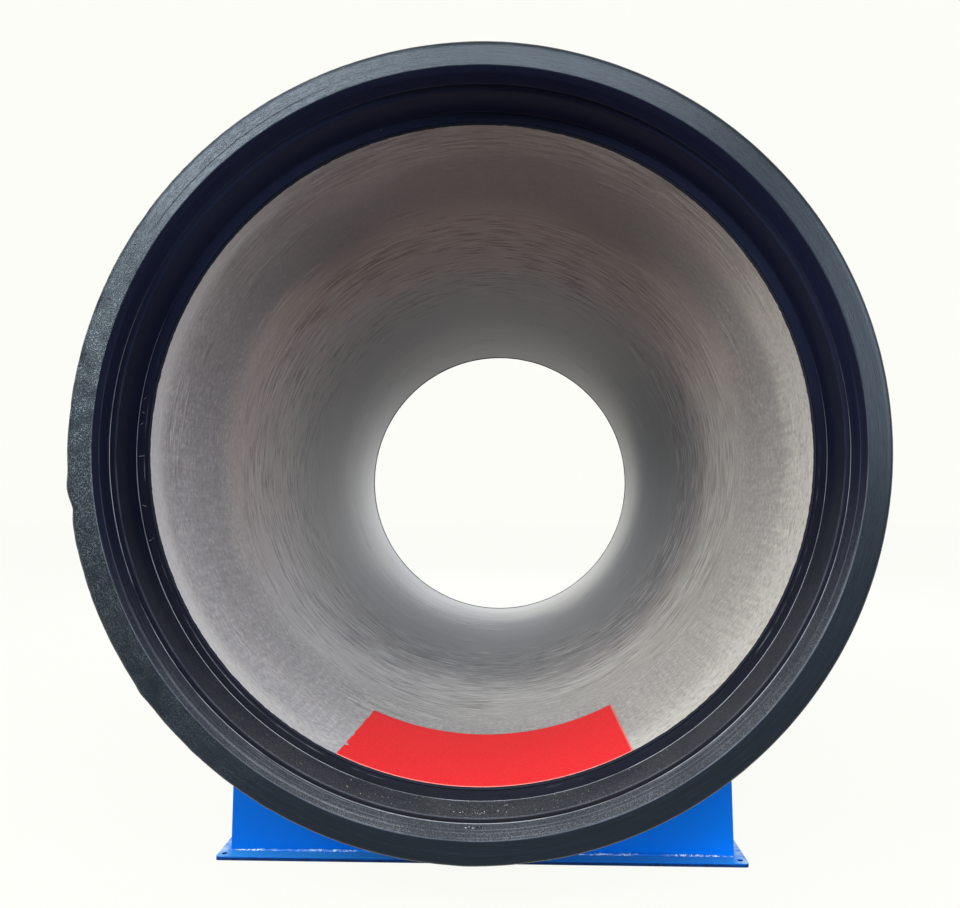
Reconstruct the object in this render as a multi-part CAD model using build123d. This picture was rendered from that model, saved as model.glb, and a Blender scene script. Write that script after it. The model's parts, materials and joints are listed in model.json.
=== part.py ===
from build123d import *
import os
from math import cos, radians, sin, tan

# Push-on socket and spigot pipe of spun ductile iron, lined with cement mortar,
# lying on two welded steel cradles.
# Millimetres and degrees. The pipe runs along Y with its bell towards -Y, +Z is up,
# and the origin lies on the floor under the middle of the pipe.

# Barrel and spigot
laying_length = 6000.0
spigot_radius = 1351.0
iron_wall = 27.9
barrel_step = 1.0
spigot_zone = 480.0
spigot_bevel_length = 25.0
spigot_bevel_height = 8.0

# Socket, from the face of the bell inwards
joint_clearance = 3.0
face_ring_width = 100.0
mouth_flare = 31.0
upper_flare = 17.5
upper_flare_depth = 25.0
lip_depth = 80.0
lip_land = 8.0
lip_clearance = 1.0
groove_height = 30.0
groove_length = 50.0
groove_slope = 4.0
ridge_slope = 10.0
seat_length = 192.0
pocket_height = 8.0
pocket_length = 20.0
pocket_slope = 6.0

# Outside of the bell
collar_bevel = 18.0
collar_length = 150.0
collar_slope = 70.0
neck_wall = 51.0
neck_length = 160.0
neck_cone_length = 180.0

# Cement mortar lining
lining_thickness = 12.0
lining_bond_gap = 0.3
lining_edge_bevel = 6.0
lining_setback = 3.0

# Cloth label on the invert at the mouth of the lining
label_left_angle = -25.3
label_right_angle = 27.3
label_depth = 800.0
label_thickness = 1.0
label_rest_gap = 0.3

# Cradles
saddle_rise = 309.0
saddle_plate_thickness = 12.0
saddle_fit = 0.3
saddle_wrap = 47.0
horn_width = 42.0
web_taper = 1.0
web_thickness = 16.0
web_edge_margin = 73.0
cradle_length = 500.0
base_thickness = 16.0
base_side_margin = 44.0
base_corner_radius = 14.0
end_plate_inset = 34.0
end_plate_thickness = 12.0
rib_thickness = 12.0
rib_spacing = 480.0
bolt_hole_radius = 12.0
bolt_edge_x = 29.0
bolt_edge_y = 36.0
cradle_behind_bell = 20.0
spigot_overhang = 1425.0

# Radii that follow from the spigot
barrel_radius = spigot_radius + barrel_step
iron_bore_radius = spigot_radius - iron_wall
seat_radius = spigot_radius + joint_clearance
lip_radius = seat_radius + lip_clearance
flare_break_radius = lip_radius + mouth_flare - upper_flare
mouth_radius = lip_radius + mouth_flare
groove_radius = seat_radius + groove_height
pocket_radius = seat_radius + pocket_height
bell_radius = mouth_radius + face_ring_width
neck_radius = seat_radius + neck_wall
lining_outer_radius = iron_bore_radius - lining_bond_gap
waterway_radius = iron_bore_radius - lining_thickness

# Depths behind the face of the bell
groove_start = lip_depth + lip_land
ridge_depth = groove_start + groove_length
throat_depth = ridge_depth + seat_length
socket_depth = throat_depth + pocket_length
neck_start = collar_length + collar_slope
neck_end = neck_start + neck_length
bell_end = neck_end + neck_cone_length
overall_length = socket_depth + laying_length
bell_face_y = -overall_length / 2
spigot_end_y = overall_length / 2

# Heights and widths of the cradles
web_arc_radius = barrel_radius + saddle_plate_thickness + 2 * saddle_fit
axis_height = base_thickness + saddle_rise + web_arc_radius
horn_top = axis_height - web_arc_radius * cos(radians(saddle_wrap))
horn_half_width = web_arc_radius * sin(radians(saddle_wrap)) + horn_width
web_lean = tan(radians(web_taper))
foot_half_width = horn_half_width + (horn_top - base_thickness) * web_lean
base_width = 2 * (foot_half_width + base_side_margin)
web_gap = cradle_length - 2 * (web_edge_margin + web_thickness)


def turned(outline):
    """Turn a closed outline, a wire of radii and stations, round the pipe's axis."""
    return Pos(0, 0, axis_height) * revolve(make_face(outline), Axis.Y)


def curved_plate(inner_radius, thickness, start_y, length, left_angle, right_angle):
    """Bend a plate round the pipe's axis, its angles counted from the bottom towards +X."""
    section = Pos(inner_radius + thickness / 2, start_y + length / 2) * Rectangle(thickness, length)
    bent = revolve(section, Axis.Y, revolution_arc=right_angle - left_angle)
    return Pos(0, 0, axis_height) * Rot(0, 90 - right_angle, 0) * bent


def upright_plate(points, start_y, thickness):
    """Stand a plate across the pipe, its outline given as (x, z) points."""
    plane = Plane(origin=(0, start_y, 0), x_dir=(1, 0, 0), z_dir=(0, -1, 0))
    return extrude(plane * make_face(Polyline(*points, close=True)), -thickness)


def under_saddle(plate, start_y, length):
    """Cut a plate to the arc that carries the saddle plate."""
    arc = Rot(90, 0, 0) * Cylinder(web_arc_radius, length)
    return plate - Pos(0, start_y + length / 2, axis_height) * arc


def pipe_casting():
    """Spun barrel with the stepped gasket socket inside the bell, in one piece of iron."""
    socket = [
        (mouth_radius, 0),
        (flare_break_radius, upper_flare_depth),
        (lip_radius, lip_depth),
        (lip_radius, groove_start),
        (groove_radius, groove_start + groove_slope),
        (groove_radius, ridge_depth - ridge_slope),
        (seat_radius, ridge_depth),
        (seat_radius, throat_depth),
        (pocket_radius, throat_depth + pocket_slope),
        (pocket_radius, socket_depth),
        (iron_bore_radius, socket_depth),
    ]
    spigot = [
        (iron_bore_radius, overall_length),
        (spigot_radius - spigot_bevel_height, overall_length),
        (spigot_radius, overall_length - spigot_bevel_length),
        (spigot_radius, overall_length - spigot_zone),
        (barrel_radius, overall_length - spigot_zone - barrel_step),
    ]
    neck = [
        (barrel_radius, bell_end),
        (neck_radius, neck_end),
        (neck_radius, neck_start),
    ]
    collar = [
        (bell_radius - collar_bevel, collar_length),
        (bell_radius, collar_length - collar_bevel),
        (bell_radius, collar_bevel),
        (bell_radius - collar_bevel, 0),
    ]
    outline = socket + spigot + neck + collar
    return turned(Polyline([(radius, bell_face_y + depth) for radius, depth in outline], close=True))


def mortar_lining():
    """Cement mortar spun into the barrel, from the stop shoulder to the spigot end."""
    start_y = bell_face_y + socket_depth
    end_y = spigot_end_y - lining_setback
    return turned(Polyline(
        (lining_outer_radius, start_y),
        (waterway_radius + lining_edge_bevel, start_y),
        (waterway_radius, start_y + lining_edge_bevel),
        (waterway_radius, end_y - lining_edge_bevel),
        (waterway_radius + lining_edge_bevel, end_y),
        (lining_outer_radius, end_y),
        close=True,
    ))


def invert_label():
    """Cloth label that lies in the bottom of the lining at its mouth."""
    return curved_plate(
        waterway_radius - label_rest_gap - label_thickness, label_thickness,
        bell_face_y + socket_depth + lining_edge_bevel, label_depth,
        label_left_angle, label_right_angle,
    )


def base_plate(start_y):
    """Floor plate of a cradle, with a bolt hole in each corner."""
    plate = extrude(RectangleRounded(base_width, cradle_length, base_corner_radius), base_thickness)
    for place in GridLocations(base_width - 2 * bolt_edge_x, cradle_length - 2 * bolt_edge_y, 2, 2):
        hole = Cylinder(bolt_hole_radius, base_thickness, align=(Align.CENTER, Align.CENTER, Align.MIN))
        plate -= place * hole
    return Pos(0, start_y + cradle_length / 2, 0) * plate


def saddle_web(start_y):
    """Plate across the cradle that carries the pipe in its arc."""
    outline = [
        (-foot_half_width, base_thickness),
        (foot_half_width, base_thickness),
        (horn_half_width, horn_top),
        (-horn_half_width, horn_top),
    ]
    web = upright_plate(outline, start_y, web_thickness)
    return under_saddle(web, start_y, web_thickness)


def end_plate(start_y, side):
    """Leaning plate that closes one end of the cradle, set in from the edges of its webs."""
    foot = foot_half_width - end_plate_inset
    top = horn_half_width - end_plate_inset
    outline = [
        (side * foot, base_thickness),
        (side * (foot - end_plate_thickness), base_thickness),
        (side * (top - end_plate_thickness), horn_top),
        (side * top, horn_top),
    ]
    return under_saddle(upright_plate(outline, start_y, web_gap), start_y, web_gap)


def rib(start_y, centre_x):
    """Stiffener between the two webs, under the saddle plate."""
    outline = [
        (centre_x - rib_thickness / 2, base_thickness),
        (centre_x + rib_thickness / 2, base_thickness),
        (centre_x + rib_thickness / 2, axis_height),
        (centre_x - rib_thickness / 2, axis_height),
    ]
    return under_saddle(upright_plate(outline, start_y, web_gap), start_y, web_gap)


def cradle(name, start_y):
    """Name every welded plate of one cradle, whose floor plate starts at start_y."""
    front_web_y = start_y + web_edge_margin
    inside_y = front_web_y + web_thickness
    saddle_length = web_gap + 2 * web_thickness
    return {
        name + "_base_plate": base_plate(start_y),
        name + "_front_web": saddle_web(front_web_y),
        name + "_rear_web": saddle_web(inside_y + web_gap),
        name + "_left_end_plate": end_plate(inside_y, -1),
        name + "_right_end_plate": end_plate(inside_y, 1),
        name + "_left_rib": rib(inside_y, -rib_spacing),
        name + "_middle_rib": rib(inside_y, 0),
        name + "_right_rib": rib(inside_y, rib_spacing),
        name + "_saddle_plate": curved_plate(
            barrel_radius + saddle_fit, saddle_plate_thickness,
            front_web_y, saddle_length, -saddle_wrap, saddle_wrap,
        ),
    }


nodes = {
    "pipe_casting": pipe_casting(),
    "mortar_lining": mortar_lining(),
    "invert_label": invert_label(),
}
nodes |= cradle("bell_cradle", bell_face_y + bell_end + cradle_behind_bell)
nodes |= cradle("spigot_cradle", spigot_end_y - spigot_overhang - cradle_length)

os.makedirs("parts", exist_ok=True)
for name, solid in nodes.items():
    export_step(solid, f"parts/{name}.step")
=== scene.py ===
import json
from math import cos, pi, radians, sin, tau

import bmesh
import bpy
import numpy as np
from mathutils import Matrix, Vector, noise


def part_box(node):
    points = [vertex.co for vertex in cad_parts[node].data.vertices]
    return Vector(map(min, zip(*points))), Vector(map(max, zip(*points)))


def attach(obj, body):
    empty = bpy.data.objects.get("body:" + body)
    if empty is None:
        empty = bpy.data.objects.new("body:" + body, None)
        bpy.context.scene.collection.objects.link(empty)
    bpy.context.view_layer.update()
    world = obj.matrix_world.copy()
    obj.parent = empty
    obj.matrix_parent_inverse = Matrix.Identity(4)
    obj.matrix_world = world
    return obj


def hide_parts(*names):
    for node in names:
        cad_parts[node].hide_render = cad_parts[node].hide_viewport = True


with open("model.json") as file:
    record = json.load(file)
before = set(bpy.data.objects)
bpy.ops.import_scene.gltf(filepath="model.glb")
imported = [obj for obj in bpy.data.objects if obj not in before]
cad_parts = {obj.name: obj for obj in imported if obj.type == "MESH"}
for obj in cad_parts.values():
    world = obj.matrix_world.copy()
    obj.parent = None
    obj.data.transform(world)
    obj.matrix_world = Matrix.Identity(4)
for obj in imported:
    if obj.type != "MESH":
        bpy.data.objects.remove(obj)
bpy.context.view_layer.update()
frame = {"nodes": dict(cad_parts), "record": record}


# The pipe casting is one piece of ductile iron: a spun barrel with its bell, and inside the bell the
# stepped socket that holds the gasket. The joint faces are turned, the outside keeps its rough cast
# skin, and the whole casting is painted with dark bitumen.
casting_low, casting_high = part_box("pipe_casting")
axis_height = (casting_low.z + casting_high.z) / 2
face_y = casting_low.y
spigot_y = casting_high.y
mounts = {mount["name"]: mount["dims"] for mount in frame["record"]["mounts"]}
seat_radius = mounts["socket"]["r_mm"] / 1000
spigot_radius = mounts["spigot"]["r_mm"] / 1000
lining_low, lining_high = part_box("mortar_lining")
lining_radius = (lining_high.x - lining_low.x) / 2

# The rim and both ends stay this far inside the part's box, so that the lumps of the skin fit in it.
skin_allowance = 0.008
end_skin = 0.0008
skin_height = 0.0005
grain_height = 0.0003
rim_height = 0.0012
bond_gap = 0.0003
bell_radius = (casting_high.x - casting_low.x) / 2 - skin_allowance
mouth_radius = seat_radius + 0.032
flare_break_radius = seat_radius + 0.0145
lip_radius = seat_radius + 0.001
pocket_radius = seat_radius + 0.008
groove_radius = seat_radius + 0.030
barrel_radius = spigot_radius + 0.001
neck_radius = seat_radius + 0.051
iron_bore_radius = lining_radius + bond_gap
pipe_length = spigot_y - face_y
# Depths behind the face of the bell.
flare_break = 0.025
lip_depth = 0.080
groove_start = 0.088
groove_end = 0.138
throat_depth = 0.330
socket_depth = 0.350

# How finely the outline and its turning are divided.
casting_turns = 480
round_steps = 3
face_ring_gap = 0.006
socket_ring_gap = 0.012
bell_ring_gap = 0.016
barrel_ring_gap = 0.160

# Each corner has its radius, its depth behind the face and its rounding.
socket_corners = [
    (bell_radius, end_skin, 0.020),
    (mouth_radius, end_skin, 0.003),
    (flare_break_radius, flare_break, 0.004),
    (lip_radius, lip_depth, 0.003),
    (lip_radius, groove_start, 0.0035),
    (groove_radius, groove_start + 0.004, 0.004),
    (groove_radius, groove_end - 0.010, 0.006),
    (seat_radius, groove_end, 0.004),
    (seat_radius, throat_depth, 0.006),
    (pocket_radius, throat_depth + 0.006, 0.002),
    (pocket_radius, socket_depth, 0.002),
    (iron_bore_radius, socket_depth, 0.001),
]
spigot_corners = [
    (iron_bore_radius, pipe_length - end_skin, 0.001),
    (spigot_radius - 0.008, pipe_length - end_skin, 0.003),
    (spigot_radius, pipe_length - 0.025, 0.006),
    (spigot_radius, pipe_length - 0.480, 0.001),
    (barrel_radius, pipe_length - 0.481, 0.001),
]
bell_corners = [
    (barrel_radius, 0.560, 0.060),
    (neck_radius, 0.380, 0.060),
    (neck_radius, 0.220, 0.020),
    (bell_radius, 0.130, 0.018),
]
# The cast rim is uneven outside this radius. Each lump or hollow has its clock angle and half width in
# degrees, and its height in metres.
rim_start = mouth_radius + 0.040
rim_fade = 0.050
rim_lumps = [
    (238.0, 27.0, 0.0075),
    (264.2, 1.5, 0.0070),
    (260.9, 1.2, -0.0078),
    (256.2, 2.2, 0.0014),
    (233.2, 1.3, 0.0048),
    (224.0, 0.9, -0.0012),
    (270.0, 3.0, 0.0016),
    (284.6, 1.4, 0.0010),
    (210.0, 1.1, 0.0012),
    (172.0, 3.0, -0.0020),
    (181.0, 2.0, 0.0015),
    (4.0, 12.0, 0.0032),
]


def rounded_outline(corners, steps):
    """Round the corners of a closed outline; gives the radius and depth of each point."""
    outline = []
    for number, (radius, depth, rounding) in enumerate(corners):
        here = Vector((radius, depth))
        before = Vector(corners[number - 1][:2])
        after = Vector(corners[(number + 1) % len(corners)][:2])
        widest = 0.45 * min((before - here).length, (after - here).length)
        reach = min(rounding, widest)
        start = here + reach * (before - here).normalized()
        end = here + reach * (after - here).normalized()
        for step in range(steps + 1):
            t = step / steps
            outline.append(tuple((1 - t) ** 2 * start + 2 * t * (1 - t) * here + t * t * end))
    return outline


def with_spacing(outline, spacing_at):
    """Add points on the long stretches of a closed outline; spacing_at gives how far apart they are."""
    dense = []
    for number, (radius, depth) in enumerate(outline):
        next_radius, next_depth = outline[(number + 1) % len(outline)]
        length = np.hypot(next_radius - radius, next_depth - depth)
        spacing = spacing_at((radius + next_radius) / 2, (depth + next_depth) / 2)
        count = max(1, round(length / spacing))
        for step in range(count):
            t = step / count
            dense.append((radius + t * (next_radius - radius), depth + t * (next_depth - depth)))
    return dense


def turned_mesh(name, outline, turns, relief, second_finish_at=None):
    """Turn a closed outline round the pipe's axis. relief gives how far each point moves out of its
    surface and how far away from the axis. Faces where second_finish_at holds take the second finish."""
    points = np.array(outline)
    following = np.roll(points, -1, 0)
    tangents = following - np.roll(points, 1, 0)
    normals = np.stack([-tangents[:, 1], tangents[:, 0]], 1)
    normals /= np.linalg.norm(normals, axis=1)[:, None]
    area = np.sum(points[:, 0] * following[:, 1] - following[:, 0] * points[:, 1])
    normals *= -1 if area > 0 else 1
    angles = np.arange(turns) * tau / turns
    moved = np.array([[relief(angle, radius, depth) for radius, depth in points] for angle in angles])
    radius = points[None, :, 0] + moved[..., 0] * normals[None, :, 0] + moved[..., 1]
    depth = points[None, :, 1] + moved[..., 0] * normals[None, :, 1]
    x = radius * np.sin(angles)[:, None]
    z = axis_height + radius * np.cos(angles)[:, None]
    vertices = np.stack([x, face_y + depth, z], -1).reshape(-1, 3)
    count = len(points)
    here = np.arange(turns)[:, None] * count + np.arange(count)[None, :]
    onward = np.roll(here, -1, 1)
    faces = np.stack([here, onward, np.roll(onward, -1, 0), np.roll(here, -1, 0)], -1).reshape(-1, 4)
    mesh = bpy.data.meshes.new(name)
    mesh.from_pydata(vertices.tolist(), [], faces.tolist())
    tidy_normals(mesh)
    if second_finish_at:
        middles = (points + following) / 2
        second = [int(second_finish_at(radius, depth)) for radius, depth in middles]
        mesh.polygons.foreach_set("material_index", np.tile(second, turns).astype(np.int32))
    return mesh


def tidy_normals(mesh):
    """Turn all faces outwards and shade them smooth."""
    shape = bmesh.new()
    shape.from_mesh(mesh)
    bmesh.ops.recalc_face_normals(shape, faces=shape.faces)
    shape.to_mesh(mesh)
    shape.free()
    mesh.shade_smooth()


def place_piece(name, mesh, finishes, nodes=()):
    """Put a finished mesh in the scene with its finishes; it rides on the part, and the nodes it takes the
    place of are hidden.
    """
    piece = bpy.data.objects.new(name, mesh)
    bpy.context.scene.collection.objects.link(piece)
    for finish in finishes:
        mesh.materials.append(finish)
    piece.modifiers.new("flat faces stay flat", "WEIGHTED_NORMAL").keep_sharp = True
    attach(piece, "root")
    if nodes:
        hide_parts(*nodes)
    return piece


def in_socket(radius, depth):
    """Whether a point lies inside the bell, behind its crest."""
    return depth < socket_depth + 0.001 and radius < mouth_radius - 0.001


def casting_spacing(radius, depth):
    """Close rings on the bell, where the socket and the rough face show, and wide ones on the barrel.
    The bore behind the lining needs none."""
    if radius < seat_radius - 0.010 and depth > 0.4:
        return pipe_length
    if depth > 0.6:
        return barrel_ring_gap
    if radius > mouth_radius:
        return face_ring_gap if depth < 0.02 else bell_ring_gap
    return socket_ring_gap


def casting_relief(angle, radius, depth):
    """Cast skin outside, lumps in the rim, and next to nothing on the turned faces of the socket."""
    east, north = sin(angle), cos(angle)
    skin = noise.noise(Vector((east * 26, north * 26, radius * 9 + depth * 17)))
    if in_socket(radius, depth):
        return 0.00012 * skin, 0.00045 * noise.noise(Vector((east * 5, north * 5, depth * 9)))
    rough_side = 0.35 + 0.65 * max(0.0, -east) ** 0.5
    grain = noise.noise(Vector((east * 90, north * 90, radius * 130 + depth * 70)))
    lump = 0.0
    if radius > rim_start and depth < 0.2:
        clock = np.degrees(angle) % 360
        nearness = min(1.0, (radius - rim_start) / rim_fade)
        for place, half_width, height in rim_lumps:
            apart = (clock - place + 180) % 360 - 180
            lump += nearness * height * np.exp(-(apart / half_width) ** 2)
        lump += nearness * rough_side * rim_height * noise.noise(Vector((east * 60, north * 60, 3.0)))
    return rough_side * (skin_height * skin + grain_height * grain), lump


def node(tree, kind, sockets=None, output=0, **settings):
    """Add a shader node, feed its sockets, and give back one of its outputs."""
    made = tree.nodes.new("ShaderNode" + kind)
    for setting, value in settings.items():
        setattr(made, setting, value)
    for socket, value in (sockets or {}).items():
        if isinstance(value, bpy.types.NodeSocket):
            tree.links.new(value, made.inputs[socket])
        else:
            made.inputs[socket].default_value = value
    return made.outputs[output]


def tone(red, green, blue):
    """A paint colour from its 0 to 255 values."""
    linear = []
    for value in (red, green, blue):
        part = value / 255
        linear.append(((part + 0.055) / 1.055) ** 2.4 if part > 0.04 else part / 12.92)
    return (*linear, 1.0)


def blend(tree, factor, first, second):
    """Mix two colours."""
    return node(tree, "Mix", {0: factor, 6: first, 7: second}, 2, data_type="RGBA")


def cover(tree, under, colour, *shares):
    """Lay a colour over what is under it, as strongly as the product of the shares."""
    return blend(tree, times(tree, *shares), under, colour)


def math_of(tree, operation, first, second=0.0, third=0.0):
    """One step of arithmetic on up to three values."""
    return node(tree, "Math", {0: first, 1: second, 2: third}, operation=operation)


def scaled(tree, value, factor, offset):
    """A value times a factor, plus an offset."""
    return math_of(tree, "MULTIPLY_ADD", value, factor, offset)


def times(tree, first, *others):
    """Multiply values together."""
    for other in others:
        first = math_of(tree, "MULTIPLY", first, other)
    return first


def between(tree, value, low, high):
    """How far a value lies between low and high, from 0 to 1, easing in and out."""
    return node(tree, "MapRange", {0: value, 1: low, 2: high}, interpolation_type="SMOOTHSTEP")


def clouds(tree, place, scale, detail, roughness=0.5):
    """Noise that is alike in all directions, with about scale patches a metre."""
    sockets = {"Vector": place, "Scale": scale, "Detail": detail, "Roughness": roughness}
    return node(tree, "TexNoise", sockets)


def along(tree, value, start, full, fading, end):
    """1 along a stretch of a value: it comes in from start to full and goes out from fading to end."""
    return times(tree, between(tree, value, start, full), between(tree, value, end, fading))


def towards(tree, turning, east, north):
    """How far a point lies towards one side of the pipe, from -1 to 1."""
    side = node(tree, "CombineXYZ", {0: turning["east"], 2: turning["north"]})
    return node(tree, "VectorMath", {0: side, 1: (east, 0.0, north)}, 1, operation="DOT_PRODUCT")


def bump(tree, height, distance, under=None):
    """Raise a surface by distance metres times height, on top of the bump under it."""
    sockets = {"Height": height, "Distance": distance, "Strength": 1.0}
    if under:
        sockets["Normal"] = under
    return node(tree, "Bump", sockets)


def new_finish(name, roughness, specular):
    """A material with its shader's plain values set; gives the material, its tree and its shader."""
    material = bpy.data.materials.new(name)
    material.use_nodes = True
    shader = material.node_tree.nodes["Principled BSDF"]
    shader.inputs["Roughness"].default_value = roughness
    shader.inputs["Specular IOR Level"].default_value = specular
    return material, material.node_tree, shader


def round_the_pipe(tree):
    """Where a point lies as the pipe turns: its sideways and upward direction, radius, depth and place."""
    place = node(tree, "TexCoord", output=3)
    from_axis = node(tree, "VectorMath", {0: place, 1: (0.0, 0.0, axis_height)}, operation="SUBTRACT")
    across = node(tree, "VectorMath", {0: from_axis, 1: (1.0, 0.0, 1.0)}, operation="MULTIPLY")
    radius = node(tree, "VectorMath", {0: across}, 1, operation="LENGTH")
    direction = node(tree, "VectorMath", {0: across}, operation="NORMALIZE")
    east = node(tree, "SeparateXYZ", {0: direction}, 0)
    north = node(tree, "SeparateXYZ", {0: direction}, 2)
    depth = math_of(tree, "SUBTRACT", node(tree, "SeparateXYZ", {0: place}, 1), face_y)
    return {"east": east, "north": north, "radius": radius, "depth": depth, "place": place}


def streaks(tree, turning, length, width, detail=4.0, shift=0.0):
    """Noise drawn out round the pipe: streaks of that length and width in metres."""
    circle = seat_radius / length
    vector = node(tree, "CombineXYZ", {
        0: times(tree, turning["east"], circle),
        1: times(tree, turning["north"], circle),
        2: times(tree, turning["radius"], 1 / width),
    })
    across = scaled(tree, turning["depth"], 1 / width, shift)
    sockets = {"Vector": vector, "W": across, "Scale": 1.0, "Detail": detail, "Roughness": 0.6}
    return node(tree, "TexNoise", sockets, noise_dimensions="4D")


def rubbed_and_glinting_edges(tree, turning, paint, bright, edges):
    """Show pale along the edges, mostly low down: partly metal that handling has rubbed bare, partly painted
    highlight where the edges catch the light. Each edge has what it is measured by, radius or depth, its
    start and end in metres, how bare it is and how patchy."""
    wear = streaks(tree, turning, 0.30, 0.060)
    low_wear_and_light = between(tree, towards(tree, turning, -0.10, -0.995), -0.42, 0.30)
    low_side = scaled(tree, low_wear_and_light, 0.96, 0.04)
    fade = 0.0012
    bare = 0.0
    for measured, start, end, strength, patchy in edges:
        inside = along(tree, turning[measured], start - fade, start, end, end + fade)
        wear_and_glint = between(tree, wear, 0.20 + 0.30 * patchy, 0.55 + 0.12 * patchy)
        bare = math_of(tree, "MAXIMUM", bare, times(tree, inside, wear_and_glint, strength))
    # The pale colour is partly wear and partly painted highlight.
    return blend(tree, times(tree, bare, low_side), paint, bright)


def bitumen_finish():
    """Dark bitumen paint outside. The face has fine rings, a paler patch and a scored line at its upper
    left, wrinkles beside it and coarse cast grain on its left side, which fades out behind the bell. The
    grain's pale flecks are painted lighter higher up, as painted light, and the crest is pale low down,
    partly rubbed paint and partly painted highlight."""
    material, tree, shader = new_finish("bitumen_paint", 0.28, 0.275)
    shader.inputs["Specular Tint"].default_value = (0.72, 0.86, 1.0, 1.0)
    turning = round_the_pipe(tree)
    fine = streaks(tree, turning, 0.110, 0.0032)
    broad = streaks(tree, turning, 0.700, 0.016, shift=7.0)
    wrinkle = streaks(tree, turning, 0.040, 0.0075, shift=3.0)
    scuffs = clouds(tree, turning["place"], 11.0, 4.0)
    grain = clouds(tree, turning["place"], 185.0, 2.0, 0.7)
    east, north = turning["east"], turning["north"]
    on_the_bell = scaled(tree, between(tree, turning["depth"], 0.55, 0.10), 0.85, 0.15)
    grain_side = times(tree, between(tree, east, -0.45, -0.80), between(tree, north, 0.70, 0.15))
    grained = times(tree, grain_side, on_the_bell, between(tree, grain, 0.46, 0.60))
    wrinkle_side = times(tree, between(tree, east, 0.30, -0.55), between(tree, north, 0.10, 0.45))
    wrinkled = times(tree, wrinkle_side, between(tree, wrinkle, 0.48, 0.62))
    # A paler patch at the upper left of the face.
    upper_left_pale = between(tree, towards(tree, turning, -0.5, 0.866), 0.88, 1.0)
    # Painted light: the grain's pale flecks grow stronger higher up the face.
    grain_painted_light = scaled(tree, between(tree, north, -0.60, 0.35), 0.46, 0.12)
    score_line = seat_radius + 0.06075
    score_ring = along(tree, turning["radius"], score_line - 0.00225, score_line - 0.00075,
                       score_line + 0.00075, score_line + 0.00225)
    scored = times(tree, score_ring, along(tree, towards(tree, turning, -0.64, 0.77), 0.95, 0.98, 1.0, 1.1))

    paint = blend(tree, between(tree, broad, 0.30, 0.75), tone(3, 8, 15), tone(9, 15, 25))
    paint = cover(tree, paint, tone(34, 42, 52), between(tree, fine, 0.52, 0.78), 0.40)
    paint = cover(tree, paint, tone(72, 84, 90), wrinkled, 0.12)
    paint = cover(tree, paint, tone(58, 65, 72), upper_left_pale, between(tree, broad, 0.20, 0.55), 0.34)
    paint = cover(tree, paint, tone(98, 112, 114), grained, between(tree, scuffs, 0.34, 0.56), grain_painted_light)
    paint = cover(tree, paint, tone(2, 4, 8), scored, 0.8)
    # Pale along the crest low down: partly wear, partly painted highlight.
    crest = ("radius", mouth_radius + 0.0005, mouth_radius + 0.0030, 0.20, 0.0)
    paint = rubbed_and_glinting_edges(tree, turning, paint, tone(120, 128, 146), [crest])
    tree.links.new(paint, shader.inputs["Base Color"])
    tree.links.new(scaled(tree, fine, 0.24, 0.17), shader.inputs["Roughness"])
    relief = bump(tree, fine, 0.0005)
    relief = bump(tree, wrinkle, 0.0004, relief)
    relief = bump(tree, scored, -0.0015, relief)
    relief = bump(tree, scaled(tree, wrinkled, 0.2, grained), 0.0015, relief)
    tree.links.new(relief, shader.inputs["Normal"])
    return material


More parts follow.
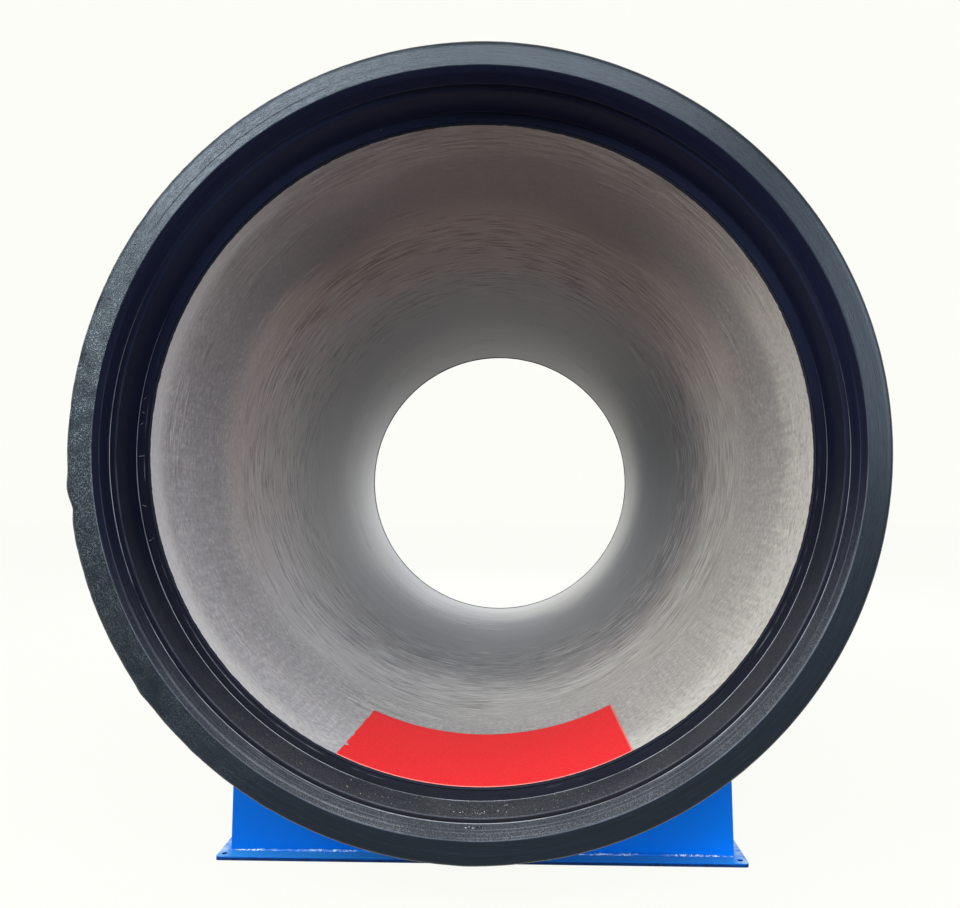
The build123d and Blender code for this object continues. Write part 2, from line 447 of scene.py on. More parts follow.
def socket_finish():
    """The dull navy coat in the socket, finely turned, with sand and dust lying in its bottom. Painted light
    makes it lighter high up, and lighter still at the upper left crown and high in the groove and behind the
    throat;
    painted shade makes it nearly black low in the gasket groove and behind the throat. Its pale edges are
    partly rubbed paint and partly painted highlight."""
    material, tree, shader = new_finish("socket_coat", 0.62, 0.06)
    turning = round_the_pipe(tree)
    fine = streaks(tree, turning, 0.160, 0.0042)
    broad = streaks(tree, turning, 0.900, 0.030, shift=11.0)
    lines = streaks(tree, turning, 1.300, 0.0075, detail=2.0, shift=17.0)
    sand = clouds(tree, turning["place"], 240.0, 3.0, 0.75)
    drift = clouds(tree, turning["place"], 3.5, 4.0)
    depth, north = turning["depth"], turning["north"]
    low_side = between(tree, towards(tree, turning, 0.12, -0.99), 0.05, 1.0)
    high_side = between(tree, north, -0.10, 0.60)
    crown = between(tree, towards(tree, turning, -0.45, 0.89), 0.72, 1.0)
    groove = along(tree, depth, groove_start - 0.0015, groove_start + 0.0005,
                   groove_end - 0.0030, groove_end + 0.0010)
    before_throat = between(tree, depth, throat_depth + 0.006, throat_depth + 0.001)
    behind_throat = between(tree, depth, throat_depth + 0.001, throat_depth + 0.006)
    recessed = math_of(tree, "MAXIMUM", groove, behind_throat)
    entry = between(tree, depth, flare_break + 0.003, flare_break - 0.003)
    flare = between(tree, depth, groove_start + 0.002, lip_depth - 0.002)
    settled = scaled(tree, between(tree, drift, 0.30, 0.70), 0.4, 0.6)
    dust = times(tree, low_side, settled, math_of(tree, "SUBTRACT", 1.0, groove),
                 scaled(tree, before_throat, 0.85, 0.15))

    # Painted light: the coat is lighter high up.
    coat = blend(tree, between(tree, north, -0.25, 0.90), tone(8, 12, 27), tone(12, 16, 39))
    # Painted shade: nearly black behind the throat, low down.
    coat = cover(tree, coat, tone(13, 15, 20), behind_throat, between(tree, north, 0.35, -0.45), 0.8)
    # Painted light: lighter high in the groove and behind the throat, and at the upper left crown.
    coat = cover(tree, coat, tone(21, 26, 45), recessed, high_side, 0.8)
    coat = cover(tree, coat, tone(36, 43, 68), crown, scaled(tree, recessed, 0.35, 0.22))
    coat = cover(tree, coat, tone(7, 9, 22), entry, 0.7)
    coat = cover(tree, coat, tone(20, 26, 50), between(tree, broad, 0.30, 0.70), 0.25)
    coat = cover(tree, coat, tone(34, 40, 60), between(tree, fine, 0.50, 0.80), 0.30)
    coat = cover(tree, coat, tone(56, 60, 64), dust, 0.60)
    coat = cover(tree, coat, tone(84, 90, 100), dust, flare, 0.15)
    coat = cover(tree, coat, tone(124, 130, 140), dust, flare, between(tree, lines, 0.55, 0.63), 0.45)
    coat = cover(tree, coat, tone(112, 113, 108), dust, between(tree, sand, 0.52, 0.62), 0.52)
    coat = cover(tree, coat, tone(14, 16, 20), dust, between(tree, sand, 0.47, 0.38), 0.80)
    # Painted shade: nearly black low in the gasket groove.
    coat = cover(tree, coat, tone(13, 14, 17), groove, low_side, 0.85)
    # Pale edges, partly wear and partly painted highlight where the edges catch the light.
    coat = rubbed_and_glinting_edges(tree, turning, coat, tone(188, 194, 206), [
        ("depth", flare_break - 0.0015, flare_break + 0.0015, 0.05, 0.3),
        ("depth", lip_depth - 0.0003, lip_depth + 0.0032, 0.62, 0.3),
        ("depth", groove_end - 0.0010, groove_end + 0.0025, 0.05, 0.3),
        ("depth", throat_depth - 0.0078, throat_depth + 0.0005, 0.78, 0.2),
        ("radius", seat_radius - 0.0215, seat_radius - 0.0190, 0.20, 1.0),
    ])
    tree.links.new(coat, shader.inputs["Base Color"])
    tree.links.new(scaled(tree, dust, 0.25, 0.58), shader.inputs["Roughness"])
    relief = bump(tree, fine, 0.0005)
    relief = bump(tree, times(tree, dust, sand), 0.0010, relief)
    tree.links.new(relief, shader.inputs["Normal"])
    return material


casting_corners = socket_corners + spigot_corners + bell_corners
casting_outline = with_spacing(rounded_outline(casting_corners, round_steps), casting_spacing)
casting_mesh = turned_mesh("painted_casting", casting_outline, casting_turns, casting_relief, in_socket)
casting_finishes = [bitumen_finish(), socket_finish()]
place_piece("painted_casting", casting_mesh, casting_finishes, ["pipe_casting"])


# The lining is cement mortar, spun into the turning barrel. Spinning and the smoothing bar leave fine
# ripples round the bore, its ends are trowelled to a bevel, and the sprayed bitumen of the joint runs
# over its two edges.
lining_thickness = 0.0117
waterway_radius = lining_radius - lining_thickness
lining_start = lining_low.y - face_y
lining_end = lining_high.y - face_y
lining_turns = 480
lining_bevel = 0.006
first_ring_gap = 0.012
ring_growth = 1.0110
mouth_overspray = 0.004
spigot_overspray = 0.075
# Broad, swaying rings, partly stains left by wetter and drier batches and partly painted light and shade,
# as marked below. Each has the depths where it starts, is full, fades and ends, the side that it is
# strongest on (towards +X and up), its colour and its strength.
stain_and_light_rings = [
    (0.10, 0.20, 0.45, 0.80, (-0.95, 0.3), tone(100, 96, 94), 0.18),
    (0.50, 0.90, 1.60, 2.20, (0.9, -0.44), tone(126, 124, 122), 0.34),
    # Painted shade: darker along the top near the mouth.
    (0.55, 0.80, 1.30, 1.65, (0.1, 0.99), tone(112, 110, 111), 0.46),
    (0.60, 0.90, 1.20, 1.60, (-0.9, -0.44), tone(112, 112, 115), 0.34),
    (1.15, 1.70, 2.45, 3.10, (-0.35, 0.92), tone(170, 157, 151), 0.62),
    (1.70, 2.10, 2.60, 3.10, (-0.9, -0.44), tone(178, 178, 180), 0.32),
    (2.10, 2.45, 2.90, 3.40, (0.96, 0.29), tone(132, 117, 110), 0.42),
    # Painted shade: darker deep in the bore on its lower right.
    (1.90, 2.90, 4.70, 5.70, (0.70, -0.71), tone(98, 101, 108), 0.66),
    (1.90, 2.70, 4.60, 5.60, (-0.45, 0.89), tone(194, 193, 190), 0.50),
    # Painted light: lighter at the far end, on its upper left and its bottom.
    (4.00, 5.90, 6.60, 6.90, (-0.50, 0.86), tone(226, 224, 220), 0.50),
    (5.60, 6.10, 6.60, 6.90, (0.0, -1.0), tone(206, 206, 205), 0.20),
]


def lining_outline():
    """Both ends bevelled, with the rings closest together at the bell end."""
    rings = [(waterway_radius, lining_start + lining_bevel)]
    gap = first_ring_gap
    while rings[-1][1] + gap < lining_end - lining_bevel:
        rings.append((waterway_radius, rings[-1][1] + gap))
        gap *= ring_growth
    ends = [
        (waterway_radius, lining_end - lining_bevel),
        (waterway_radius + lining_bevel, lining_end),
        (lining_radius, lining_end),
        (lining_radius, lining_start),
        (waterway_radius + lining_bevel, lining_start),
    ]
    return rings + ends


def lining_relief(angle, radius, depth):
    """Ripples worn into the bore, never standing proud of it."""
    if radius > waterway_radius + 0.001:
        return 0.0, 0.0
    east, north = sin(angle), cos(angle)
    ripple = noise.noise(Vector((east * 10, north * 10, depth / 0.045)))
    fine = noise.noise(Vector((east * 22, north * 22, depth / 0.022 + 5.0)))
    wave = noise.noise(Vector((east * 3, north * 3, depth / 0.30)))
    return -0.0013 + 0.0006 * ripple + 0.0003 * fine + 0.0004 * wave, 0.0


def mortar_finish():
    """Grey mortar, mottled and rippled along the first metre, scored round the bore by the smoothing bar
    beyond that, stained in broad rings, and sprayed with bitumen at both ends. Painted light and shade lie
    over it: a cooler left side and a warmer right side, painted shade overhead and on the upper shoulders
    near the mouth, painted shade in some of the broad rings and painted light in others, and pale and dark
    strokes along the scores that are partly painted highlight and shade."""
    material, tree, shader = new_finish("spun_mortar", 0.88, 0.16)
    turning = round_the_pipe(tree)
    mottle = streaks(tree, turning, 0.024, 0.017, detail=3.0)
    scores = streaks(tree, turning, 0.190, 0.019, detail=3.0, shift=4.0)
    ripples = streaks(tree, turning, 0.017, 0.260, detail=1.0, shift=15.0)
    bands = streaks(tree, turning, 1.600, 0.170, detail=3.0, shift=9.0)
    clusters = streaks(tree, turning, 0.550, 0.280, detail=3.0, shift=21.0)
    sway = clouds(tree, turning["place"], 1.1, 2.0)
    depth, north = turning["depth"], turning["north"]
    uneven = scaled(tree, sway, 0.9, math_of(tree, "SUBTRACT", depth, 0.45))
    overhead = between(tree, north, 0.10, 0.80)
    shoulders = along(tree, north, 0.40, 0.66, 0.80, 0.99)
    below = scaled(tree, overhead, -0.75, 1.0)
    near_mouth = times(tree, between(tree, depth, 1.90, 1.20), below)
    rippled = times(tree, along(tree, depth, 0.45, 0.65, 1.15, 1.50), between(tree, north, 0.55, 0.20))
    deep = along(tree, depth, 1.30, 1.80, 3.00, 3.90)
    deep_scores = times(tree, deep, between(tree, clusters, 0.28, 0.50))
    lip_scores = times(tree, between(tree, depth, 0.80, 0.50), overhead, 0.6)
    loose_scores = times(tree, between(tree, clusters, 0.56, 0.66), 0.7)
    scored = math_of(tree, "MAXIMUM", deep_scores, math_of(tree, "MAXIMUM", lip_scores, loose_scores))
    left_side = between(tree, turning["east"], -0.35, -0.90)
    rim_band = times(tree, left_side, between(tree, depth, lining_start + 0.20, lining_start + 0.06))
    ragged = scaled(tree, mottle, 0.016, -0.009)
    mouth_line = lining_start + lining_bevel + mouth_overspray
    mouth_spray = between(tree, math_of(tree, "ADD", depth, ragged), mouth_line, mouth_line - 0.002)
    spigot_line = lining_end - spigot_overspray
    spigot_spray = between(tree, scaled(tree, scores, 0.06, depth),
                           spigot_line + 0.02, spigot_line + 0.05)

    # Painted light: the left side a cooler grey and the right side warmer, as the light falls.
    mortar = blend(tree, between(tree, turning["east"], -0.6, 0.6), tone(155, 156, 160), tone(163, 162, 156))
    mortar = cover(tree, mortar, tone(170, 170, 168), between(tree, bands, 0.32, 0.68), 0.6)
    # Painted shade: darker overhead and on the upper shoulders in the first metres.
    mortar = cover(tree, mortar, tone(156, 148, 142), overhead, between(tree, depth, 2.8, 1.8), 0.50)
    mortar = cover(tree, mortar, tone(98, 94, 93), shoulders, between(tree, depth, 2.6, 1.8), 0.42)
    for start, full, fading, end, side, colour, strength in stain_and_light_rings:
        ring = along(tree, uneven, start, full, fading, end)
        strongest = between(tree, towards(tree, turning, *side), -0.40, 0.50)
        mortar = cover(tree, mortar, colour, ring, strongest, strength)
    mortar = cover(tree, mortar, tone(208, 206, 200), near_mouth, between(tree, mottle, 0.50, 0.68), 0.26)
    mortar = cover(tree, mortar, tone(100, 98, 96), near_mouth, between(tree, mottle, 0.48, 0.34), 0.38)
    mortar = cover(tree, mortar, tone(112, 112, 112), rippled, between(tree, ripples, 0.38, 0.62), 0.22)
    # Pale and dark strokes on the scores, partly painted highlight and painted shade of their relief.
    mortar = cover(tree, mortar, tone(204, 202, 199), scored, between(tree, scores, 0.52, 0.60), 0.34)
    mortar = cover(tree, mortar, tone(74, 72, 72), scored, between(tree, scores, 0.46, 0.41), 0.46)
    mortar = cover(tree, mortar, tone(206, 206, 206), rim_band, 0.45)
    mortar = cover(tree, mortar, tone(20, 24, 36), math_of(tree, "MAXIMUM", mouth_spray, spigot_spray))
    tree.links.new(mortar, shader.inputs["Base Color"])
    score_depth = scaled(tree, scored, 0.85, 0.15)
    mottle_depth = scaled(tree, near_mouth, 0.8, 0.2)
    relief = bump(tree, times(tree, scores, score_depth), 0.0090)
    relief = bump(tree, times(tree, mottle, mottle_depth), 0.0026, relief)
    relief = bump(tree, times(tree, ripples, rippled), 0.0016, relief)
    tree.links.new(relief, shader.inputs["Normal"])
    return material


lining_mesh = turned_mesh("spun_lining", lining_outline(), lining_turns, lining_relief)
place_piece("spun_lining", lining_mesh, [mortar_finish()], ["mortar_lining"])


# The label is a piece of red banner cloth with pale selvedges, laid in the bottom of the lining at its
# mouth. It was cut a little askew, and its left edge is torn.
label_low, label_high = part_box("invert_label")
# Angles of its corners, counted from the bottom towards +X.
label_near_left = radians(-25.3)
label_far_left = radians(-23.9)
label_right = radians(27.3)
label_radius = axis_height - label_low.z
label_length = label_high.y - label_low.y
label_width = (label_right - label_near_left) * label_radius
label_columns = 150
label_rows = 92
cloth_thickness = 0.0009
selvedge = 0.0050
slack_height = 0.0018
left_trim = 0.008
torn_depth = 0.005
frayed_depth = 0.004
notch_depth = 0.018
notch_place = 0.20
notch_width = 0.020


def label_cloth():
    """A sheet bent to the bore, with its torn left edge and slack waves; gives the mesh."""
    vertices = []
    edge_values = []
    for row in range(label_rows + 1):
        far = row / label_rows
        torn = torn_depth * noise.noise(Vector((far * 14, 0.0, 1.0)))
        torn += frayed_depth * noise.noise(Vector((far * 55, 4.0, 1.0)))
        notch = notch_depth * np.exp(-((far - notch_place) / notch_width) ** 2)
        skew = (label_far_left - label_near_left) * label_radius * far
        left = max(0.0, left_trim + torn + notch + skew) / label_width
        for column in range(label_columns + 1):
            across = left + (1 - left) * column / label_columns
            angle = label_near_left + (label_right - label_near_left) * across
            slack = 0.5 + 0.5 * noise.noise(Vector((across * 5, far * 4, 8.0)))
            lift = cloth_thickness / 2 + slack_height * slack * min(1.0, 12 * far * (1 - far) + 0.2)
            radius = label_radius - lift
            vertices.append((radius * sin(angle), label_low.y + far * label_length,
                             axis_height - radius * cos(angle)))
            from_edge = min((1 - across) * label_width, far * label_length, (1 - far) * label_length)
            edge_values.append(max(0.0, 1 - from_edge / selvedge))
    width = label_columns + 1
    faces = [(row * width + column, row * width + column + 1,
              (row + 1) * width + column + 1, (row + 1) * width + column)
             for row in range(label_rows) for column in range(label_columns)]
    mesh = bpy.data.meshes.new("red_label")
    mesh.from_pydata(vertices, [], faces)
    mesh.attributes.new("selvedge", "FLOAT", "POINT").data.foreach_set("value", edge_values)
    tidy_normals(mesh)
    return mesh


def banner_finish():
    """Smooth red cloth with a fine weave and a pale cut edge."""
    material, tree, shader = new_finish("banner_cloth", 0.85, 0.08)
    place = node(tree, "TexCoord", output=3)
    mottle = clouds(tree, place, 170.0, 3.0, 0.7)
    broad = clouds(tree, place, 5.0, 2.0)
    pale = node(tree, "Attribute", output=2, attribute_name="selvedge")
    colour = blend(tree, between(tree, mottle, 0.32, 0.68), tone(190, 30, 36), tone(218, 46, 46))
    colour = cover(tree, colour, tone(204, 34, 44), broad, 0.25)
    colour = cover(tree, colour, tone(236, 150, 140), pale, 0.75)
    tree.links.new(colour, shader.inputs["Base Color"])
    weave = node(tree, "TexWave", {"Vector": place, "Scale": 900.0}, output=1, bands_direction="X")
    tree.links.new(bump(tree, weave, 0.0001, bump(tree, broad, 0.004)), shader.inputs["Normal"])
    return material


label = place_piece("red_label", label_cloth(), [banner_finish()], ["invert_label"])
thickness = label.modifiers.new("cloth thickness", "SOLIDIFY")
thickness.thickness = cloth_thickness
thickness.offset = 0.0


# Each cradle is welded from steel plate: a floor plate with bolt holes, two webs cut to the pipe's arc,
# end plates and ribs between them, and a bent saddle plate. It is sprayed with blue enamel, rubbed pale at
# the corners of the floor plate. Painted light makes it lighter to the right and on the floor plate's top,
# and painted shade makes it deeper to the left and dark along the sawn edge of the floor plate.
plate_edge = 0.0018
same_point = 0.00002
flat_angle = radians(0.3)
sharp_angle = radians(30)
floor_plate_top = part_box("bell_cradle_base_plate")[1].z
floor_plate_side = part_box("bell_cradle_base_plate")[1].x
cradles = ["bell_cradle", "spigot_cradle"]
plates = ["base_plate", "front_web", "rear_web", "left_end_plate", "right_end_plate",
          "left_rib", "middle_rib", "right_rib", "saddle_plate"]


def finished_mesh(name, shape):
    """The mesh of what was built up in shape."""
    mesh = bpy.data.meshes.new(name)
    shape.to_mesh(mesh)
    shape.free()
    tidy_normals(mesh)
    return mesh


def softened_plate(node_name):
    """A copy of a plate with its sawn edges rounded by the paint."""
    shape = bmesh.new()
    shape.from_mesh(frame["nodes"][node_name].data)
    bmesh.ops.remove_doubles(shape, verts=shape.verts, dist=same_point)
    bmesh.ops.dissolve_limit(shape, angle_limit=flat_angle, verts=shape.verts, edges=shape.edges)
    sharp = [edge for edge in shape.edges if edge.is_manifold and edge.calc_face_angle() > sharp_angle]
    bmesh.ops.bevel(shape, geom=sharp, offset=plate_edge, segments=2, profile=0.6, affect="EDGES",
                    clamp_overlap=True)
    return finished_mesh(node_name + "_painted", shape)


def enamel_finish():
    """Blue enamel with a slight orange peel, with painted shade to the left and painted light to the right,
    painted light on the floor plate's top, rubbed pale at the floor plate's corners and painted shade along
    its edge."""
    material, tree, shader = new_finish("blue_enamel", 0.34, 0.10)
    place = node(tree, "TexCoord", output=3)
    sideways = node(tree, "SeparateXYZ", {0: place}, 0)
    height = node(tree, "SeparateXYZ", {0: place}, 2)
    facing_up = node(tree, "SeparateXYZ", {0: node(tree, "NewGeometry", output=1)}, 2)
    cloud = clouds(tree, place, 2.5, 3.0)
    peel = clouds(tree, place, 160.0, 2.0)
    scuff = clouds(tree, place, 24.0, 5.0, 0.7)
    top_light_and_wear = times(tree, between(tree, facing_up, 0.6, 0.9), between(tree, height, 0.030, 0.020))
    from_middle = math_of(tree, "ABSOLUTE", sideways)
    corner = between(tree, from_middle, floor_plate_side - 0.060, floor_plate_side - 0.010)
    bleached = times(tree, top_light_and_wear, corner, between(tree, scuff, 0.30, 0.60))
    low_edge = between(tree, height, floor_plate_top - 0.001, floor_plate_top - 0.005)
    edge_painted_shade = times(tree, low_edge, between(tree, facing_up, 0.5, 0.2))

    enamel = blend(tree, between(tree, cloud, 0.3, 0.7), tone(0, 95, 195), tone(0, 101, 204))
    # Painted shade to the left and painted light to the right.
    enamel = cover(tree, enamel, tone(0, 82, 172), between(tree, sideways, 0.3, -1.1), 0.8)
    enamel = cover(tree, enamel, tone(0, 110, 220), between(tree, sideways, -0.3, 1.1), 0.8)
    # Painted light: the floor plate's top is lighter.
    enamel = cover(tree, enamel, tone(48, 138, 200), top_light_and_wear, 0.62)
    enamel = cover(tree, enamel, tone(176, 196, 218), bleached, 0.75)
    # Painted shade along the floor plate's sawn edge.
    enamel = cover(tree, enamel, tone(9, 20, 44), edge_painted_shade, scaled(tree, scuff, 0.5, 0.60))
    tree.links.new(enamel, shader.inputs["Base Color"])
    tree.links.new(scaled(tree, top_light_and_wear, 0.30, 0.30), shader.inputs["Roughness"])
    tree.links.new(bump(tree, peel, 0.00012), shader.inputs["Normal"])
    return material


blue_enamel = enamel_finish()
for cradle in cradles:
    for plate in plates:
        plate_node = cradle + "_" + plate
        plate_mesh = softened_plate(plate_node)
        place_piece(plate_node + "_painted", plate_mesh, [blue_enamel], [plate_node])


# The plates are joined by fillet welds, laid by hand in short ripples and painted over with the plates.
# The crests of the ripples are pale, partly rubbed and partly painted highlight.
weld_leg = 0.008
weld_step = 0.004
weld_sides = 5
# The end plates lean in by this much from foot to top.
end_plate_lean = 0.0126


def join_rings(shape, ring, after):
    """Put faces between one ring of points and the next."""
    for side, corner in enumerate(ring):
        follow = (side + 1) % len(ring)
        shape.faces.new((corner, ring[follow], after[follow], after[side]))


def weld_bead(shape, start, end, first, second, seed):
    """Lay one rippled fillet from start to end; first and second point from its corner over its plates."""
    count = max(2, int((end - start).length / weld_step))
    rings = []
    for step in range(count + 1):
        t = step / count
        swell = 1 + 0.16 * cos(step * pi) + 0.30 * noise.noise(Vector((step * 0.21, seed, 0.0)))
        leg = weld_leg * swell * min(1.0, 0.3 + 8 * t, 0.3 + 8 * (1 - t))
        corner = start.lerp(end, t)
        ring = [shape.verts.new(corner)]
        for side in range(weld_sides):
            turn = side / (weld_sides - 1)
            bulge = 0.72 + 0.28 * abs(2 * turn - 1)
            direction = cos(turn * pi / 2) * first + sin(turn * pi / 2) * second
            ring.append(shape.verts.new(corner + bulge * leg * direction))
        rings.append(ring)
    for ring, after in zip(rings, rings[1:]):
        join_rings(shape, ring, after)
    shape.faces.new(rings[0])
    shape.faces.new(rings[-1])


def cradle_welds(cradle):
    """All the fillets that show on one cradle, as one mesh."""
    shape = bmesh.new()
    up = Vector((0, 0, 1))
    for web, outward in (("front_web", -1), ("rear_web", 1)):
        low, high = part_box(cradle + "_" + web)
        outer_y = low.y if outward < 0 else high.y
        left = Vector((low.x, outer_y, floor_plate_top))
        right = Vector((high.x, outer_y, floor_plate_top))
        weld_bead(shape, left, right, Vector((0, outward, 0)), up, outer_y)
    for end_name, outward in (("left_end_plate", -1), ("right_end_plate", 1)):
        low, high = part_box(cradle + "_" + end_name)
        plate_foot = low.x if outward < 0 else high.x
        plate_head = plate_foot - outward * end_plate_lean
        away = Vector((outward, 0, 0))
        front = Vector((plate_foot, low.y, floor_plate_top))
        rear = Vector((plate_foot, high.y, floor_plate_top))
        weld_bead(shape, front, rear, away, up, plate_foot)
        for bottom, inward in ((front, 1), (rear, -1)):
            top = Vector((plate_head, bottom.y, high.z))
            weld_bead(shape, bottom, top, away, Vector((0, inward, 0)), plate_foot + bottom.y)
    return finished_mesh(cradle + "_welds", shape)


def weld_finish():
    """The same blue over the beads, with pale spots on the crests of the ripples, partly rubbed paint and
    partly painted highlight.
    """
    material, tree, shader = new_finish("painted_weld", 0.30, 0.30)
    place = node(tree, "TexCoord", output=3)
    spots = clouds(tree, place, 75.0, 3.0, 0.7)
    runs = clouds(tree, place, 7.0, 2.0)
    wear_and_glint = times(tree, between(tree, spots, 0.44, 0.58), between(tree, runs, 0.40, 0.60))
    # Pale spots on the ripple crests, partly wear and partly painted highlight.
    colour = blend(tree, wear_and_glint, tone(16, 104, 206), tone(206, 226, 240))
    tree.links.new(colour, shader.inputs["Base Color"])
    tree.links.new(bump(tree, spots, 0.0006), shader.inputs["Normal"])
    return material


painted_weld = weld_finish()
for cradle in cradles:
    place_piece(cradle + "_welds", cradle_welds(cradle), [painted_weld])


# A shallow mark was cast into the bottom of the seat and three small ones into the flare. Each is a
# raised outline like a long slot, painted over with the socket and chipped in places.
mark_height = 0.0012
mark_line = 0.0026
mark_root = 0.0004
mark_end_steps = 8
mark_side_steps = 40
# Each mark has its clock angle, depth behind the face, length round the pipe and height along it.
cast_marks = [
    (180.15, 0.198, 0.160, 0.0150),
    (179.05, 0.058, 0.030, 0.0060),
    (180.20, 0.058, 0.036, 0.0060),
    (181.20, 0.058, 0.018, 0.0050),
]


def on_the_pipe(angle, radius, depth):
    """The point at a clock angle, a distance from the axis and a depth behind the face."""
    return radius * sin(angle), face_y + depth, axis_height + radius * cos(angle)


def socket_surface(depth):
    """Radius of the turned face at a depth, on the seat or on the lower part of the flare."""
    if depth > groove_end:
        return seat_radius
    flare_share = (lip_depth - depth) / (lip_depth - flare_break)
    return lip_radius + flare_share * (flare_break_radius - lip_radius)


def slot_outline(length, height):
    """Points round a long slot, as distances round the pipe and along it."""
    straight = length / 2 - height / 2
    points = []
    for side in (1, -1):
        for step in range(mark_end_steps + 1):
            turn = pi * step / mark_end_steps - pi / 2
            points.append((side * (straight + height / 2 * cos(turn)), side * height / 2 * sin(turn)))
        for step in range(1, mark_side_steps):
            points.append((side * straight * (1 - 2 * step / mark_side_steps), side * height / 2))
    return points


def raised_marks():
    """The outlines of all the cast marks, as low rounded ridges on the joint faces."""
    shape = bmesh.new()
    for clock, depth, length, height in cast_marks:
        outline = slot_outline(length, height)
        ridge = []
        for number, middle in enumerate(outline):
            before = Vector(outline[number - 1])
            after = Vector(outline[(number + 1) % len(outline)])
            forward = (after - before).normalized()
            outward = Vector((forward.y, -forward.x))
            rise = mark_height * (0.8 + 0.4 * noise.noise(Vector((middle[0] * 60, middle[1] * 60, clock))))
            ring = []
            for offset, lift in ((-0.5, -mark_root), (-0.25, rise), (0.25, rise), (0.5, -mark_root)):
                point = Vector(middle) + offset * mark_line * outward
                radius = socket_surface(depth + point.y) - lift
                angle = radians(clock) - point.x / radius
                ring.append(shape.verts.new(on_the_pipe(angle, radius, depth + point.y)))
            ridge.append(ring)
        for number, ring in enumerate(ridge):
            join_rings(shape, ring, ridge[(number + 1) % len(ridge)])
    return finished_mesh("cast_marks", shape)


def mark_finish():
    """Nearly black paint over the ridges, chipped white here and there."""
    material, tree, shader = new_finish("chipped_mark", 0.60, 0.06)
    chips = clouds(tree, node(tree, "TexCoord", output=3), 130.0, 2.0)
    colour = blend(tree, between(tree, chips, 0.58, 0.64), tone(12, 13, 22), tone(190, 196, 204))
    tree.links.new(colour, shader.inputs["Base Color"])
    return material


place_piece("cast_marks", raised_marks(), [mark_finish()])


# Sand and small grit have gathered in the bottom of the socket, where the gasket will sit, and a few
# runs of paint have dried on the stop shoulder behind the throat.
grit_count = 420
grit_smallest = 0.0005
grit_largest = 0.0018
share_on_seat = 0.8
# Each white chip has its clock angle, its depth behind the face and its size.
white_chips = [
    (179.35, 0.176, 0.0024),
    (179.75, 0.183, 0.0016),
    (176.55, 0.205, 0.0042),
    (180.50, 0.186, 0.0014),
]
# Each run has its clock angle, its length towards the axis and its lean round the pipe in degrees.
paint_runs = [
    (254.6, 0.019, 0.25),
    (260.7, 0.017, -0.35),
    (269.0, 0.020, 0.10),
    (274.4, 0.009, 0.40),
    (276.6, 0.010, -0.20),
    (278.8, 0.009, 0.45),
    (343.2, 0.006, 0.05),
]
run_width = 0.0026
run_height = 0.0010
run_start_radius = pocket_radius - 0.008


def add_grain(shape, chance, angle, depth, size):
    """One uneven grain lying on the socket."""
    surface = groove_radius if depth < groove_end else seat_radius
    centre = Vector(on_the_pipe(angle, surface - 0.6 * size, depth))
    for vertex in bmesh.ops.create_icosphere(shape, subdivisions=1, radius=size)["verts"]:
        vertex.co = centre + vertex.co * chance.uniform(0.65, 1.15)


def grit_in_socket():
    """Loose grains on the seat and in the groove, thickest at the very bottom, and the runs."""
    chance = np.random.default_rng(7)
    shape = bmesh.new()
    for _ in range(grit_count):
        angle = pi + chance.normal(0.0, 0.34)
        if chance.random() < share_on_seat:
            depth = chance.uniform(groove_end + 0.002, throat_depth - 0.005)
        else:
            depth = chance.uniform(groove_start + 0.006, groove_end - 0.012)
        size = grit_smallest + (grit_largest - grit_smallest) * chance.random() ** 3
        add_grain(shape, chance, angle, depth, size)
    for clock, depth, size in white_chips:
        add_grain(shape, chance, radians(clock), depth, size)
    for clock, length, lean in paint_runs:
        corners = []
        for inward in (0.0, 1.0):
            angle = radians(clock + lean * inward)
            radius = run_start_radius - length * inward
            half = run_width * (1 - 0.5 * inward) / 2 / radius
            for side, height in ((-half, 0.0), (0.0, run_height), (half, 0.0)):
                corners.append(shape.verts.new(on_the_pipe(angle + side, radius, socket_depth - height)))
        join_rings(shape, corners[:3], corners[3:])
        shape.faces.new(corners[:3])
        shape.faces.new(corners[3:])
    return finished_mesh("socket_grit", shape)


def grit_finish():
    """Dry pale sand of mixed grains."""
    material, tree, shader = new_finish("dry_sand", 0.9, 0.2)
    mixed = clouds(tree, node(tree, "TexCoord", output=3), 60.0, 2.0)
    colour = blend(tree, between(tree, mixed, 0.35, 0.65), tone(96, 95, 90), tone(176, 176, 172))
    tree.links.new(colour, shader.inputs["Base Color"])
    return material


place_piece("socket_grit", grit_in_socket(), [grit_finish()])


# The pipe lies on a plain white floor under a soft overcast light, brightest from the upper left.
backdrop = tone(253, 253, 248)
ground = tone(100, 97, 95)
floor_glow = 0.962
floor_lit = 0.025


def see_backdrop(tree):
    """1 for what the eye sees, directly, in gloss or through glass; 0 for light that falls on the object."""
    path = tree.nodes.new("ShaderNodeLightPath")
    seen = math_of(tree, "MAXIMUM", path.outputs["Is Camera Ray"], path.outputs["Is Glossy Ray"])
    return math_of(tree, "MAXIMUM", seen, path.outputs["Is Transmission Ray"])


def floor_finish():
    """White to the eye with the object's shadow in it, mid grey in the light that it throws back."""
    material = bpy.data.materials.new("white_floor")
    material.use_nodes = True
    tree = material.node_tree
    tree.nodes.clear()
    bright = node(tree, "Emission", {"Color": backdrop, "Strength": floor_glow})
    lit = node(tree, "BsdfDiffuse", {"Color": (floor_lit, floor_lit, floor_lit, 1.0)})
    shown = node(tree, "AddShader", {0: bright, 1: lit})
    thrown = node(tree, "BsdfDiffuse", {"Color": ground})
    mixed = node(tree, "MixShader", {0: see_backdrop(tree), 1: thrown, 2: shown})
    tree.links.new(mixed, tree.nodes.new("ShaderNodeOutputMaterial").inputs["Surface"])
    return material


floor_size = 120.0
bpy.ops.mesh.primitive_plane_add(size=floor_size, location=(0, 0, 0))
floor = bpy.context.object
floor.name = "white_floor"
floor.data.materials.append(floor_finish())

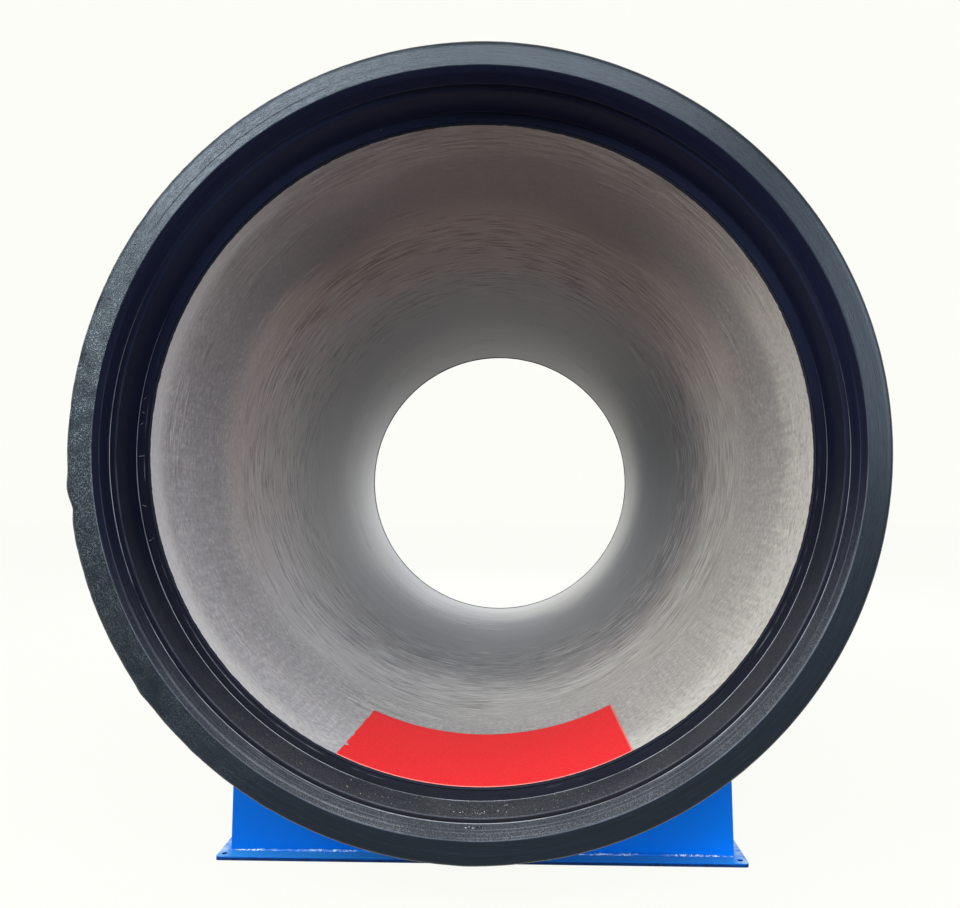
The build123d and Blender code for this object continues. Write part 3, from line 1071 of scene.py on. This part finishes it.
world = bpy.data.worlds.new("overcast")
bpy.context.scene.world = world
world.use_nodes = True
sky = world.node_tree
heading = node(sky, "TexCoord", output=0)
upward = node(sky, "SeparateXYZ", {0: heading}, 2)
left_front = node(sky, "VectorMath", {0: heading, 1: (-0.97, -0.22, 0.10)}, 1, operation="DOT_PRODUCT")
below_horizon = (0.10, 0.10, 0.10, 1.0)
cloudy = (0.85, 0.88, 0.95, 1.0)
brighter = (2.15, 2.15, 2.10, 1.0)
overcast = blend(sky, between(sky, upward, -0.20, 0.15), below_horizon, cloudy)
above_horizon = between(sky, upward, -0.10, 0.05)
overcast = cover(sky, overcast, brighter, between(sky, left_front, 0.25, 0.90), above_horizon)
sky_colour = blend(sky, see_backdrop(sky), overcast, backdrop)
sky.links.new(sky_colour, sky.nodes["Background"].inputs["Color"])
sky.nodes["Background"].inputs["Strength"].default_value = 1.0


def soft_lamp(name, place, aim, width, height, power, colour):
    """A large soft box at place, turned to aim."""
    lamp = bpy.data.lights.new(name, "AREA")
    lamp.shape = "RECTANGLE"
    lamp.size = width
    lamp.size_y = height
    lamp.energy = power
    lamp.color = colour
    box = bpy.data.objects.new(name, lamp)
    box.location = place
    box.rotation_euler = (Vector(aim) - Vector(place)).to_track_quat("-Z", "Y").to_euler()
    bpy.context.scene.collection.objects.link(box)


soft_lamp("sky_above_the_bell", (-0.5, -11.0, 7.2), (0.0, -3.0, 1.7), 7.0, 3.6, 850, (1.0, 0.99, 0.98))
soft_lamp("sky_upper_left", (-4.6, -10.6, 5.0), (0.0, -3.0, 1.7), 4.5, 3.6, 860, (1.0, 0.99, 0.98))
soft_lamp("sky_right", (6.0, -9.6, 3.9), (0.0, -2.5, 1.5), 5.0, 4.0, 480, (0.93, 0.96, 1.0))
soft_lamp("overhead", (0.6, -5.6, 8.4), (0.0, -1.0, 0.8), 8.0, 6.0, 50, (1.0, 0.99, 0.98))
soft_lamp("behind_the_spigot", (0.5, 8.5, 6.5), (0.0, 2.8, 0.9), 8.0, 6.0, 1000, (0.97, 0.99, 1.0))

# The camera is held before the bell, 1.5 m above the floor and a little right of the pipe's axis, and is
# turned slightly left and up.
focal_pixels = 910
image_width = 960
camera_from_axis = 0.136
camera_before_face = 3.235
camera_below_axis = 0.2044
camera_left_turn = radians(2.02)
camera_up_tilt = radians(2.995)
camera_data = bpy.data.cameras.new("camera")
camera_data.sensor_width = 36.0
camera_data.lens = camera_data.sensor_width * focal_pixels / image_width
camera = bpy.data.objects.new("camera", camera_data)
camera.location = (camera_from_axis, face_y - camera_before_face, axis_height - camera_below_axis)
camera.rotation_euler = (pi / 2 + camera_up_tilt, 0, camera_left_turn)
bpy.context.scene.collection.objects.link(camera)
bpy.context.scene.camera = camera
bpy.context.scene.view_settings.view_transform = "Standard"
